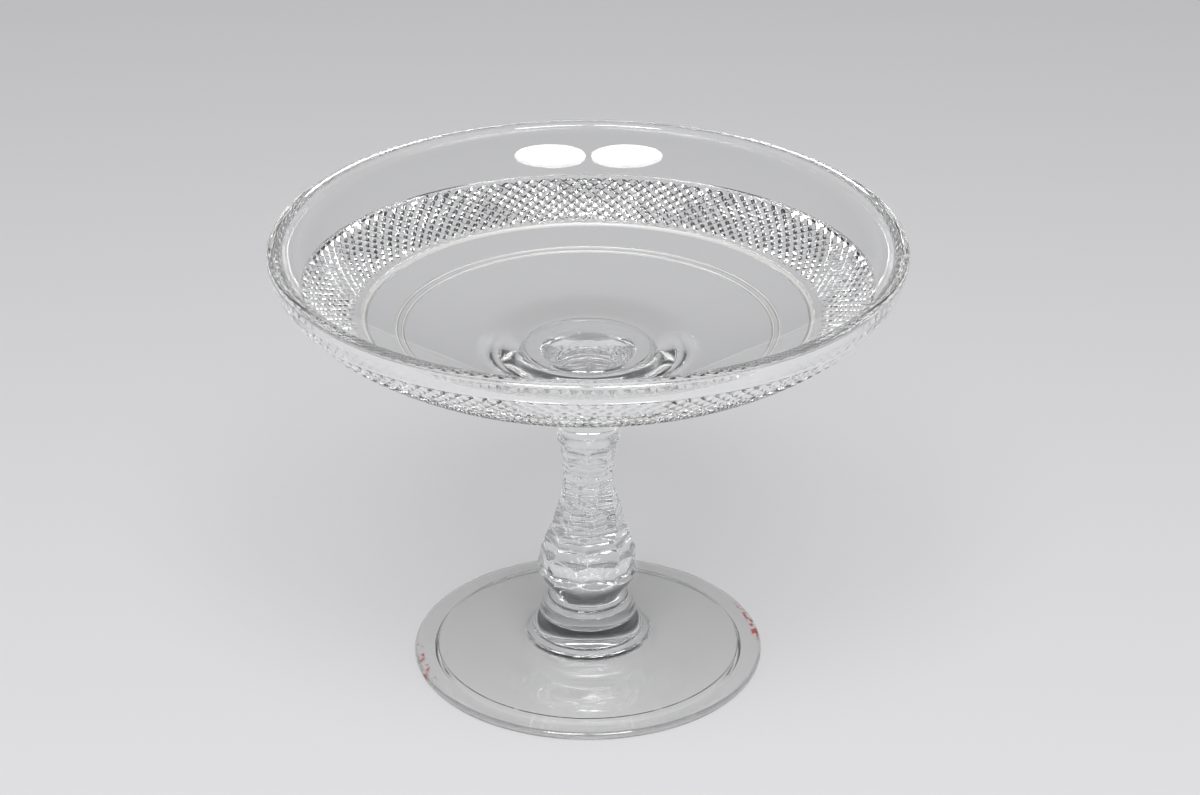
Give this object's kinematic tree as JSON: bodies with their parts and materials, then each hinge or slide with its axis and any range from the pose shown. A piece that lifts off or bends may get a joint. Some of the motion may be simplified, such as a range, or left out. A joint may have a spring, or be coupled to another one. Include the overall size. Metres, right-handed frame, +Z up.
{
  "type": "footed fruit bowl",
  "caption": "Footed bowl of clear glass with a diamond-cut band below the rim and a facet-cut baluster stem on a round foot.",
  "frame": {"origin": "centre of the foot's resting ring, on the table", "axes": "+Z up along the axis of foot, stem and bowl; X and Y lie in the table and are alike, as the form is turned"},
  "size_m": [0.23, 0.23, 0.17],
  "materials": {
    "bowl_glass": "clear polished glass with cut diamonds",
    "stem_glass": "clear polished glass with cut facets",
    "foot_glass": "clear polished glass, worn on the resting ring"
  },
  "bodies": {
    "root": {"foot": "foot_glass", "base_wafer": "stem_glass", "drum_collar": "stem_glass", "neck_bead": "stem_glass", "faceted_stem": "stem_glass", "bowl_wafer": "stem_glass", "bowl": "bowl_glass"}
  },
  "joints": []
}
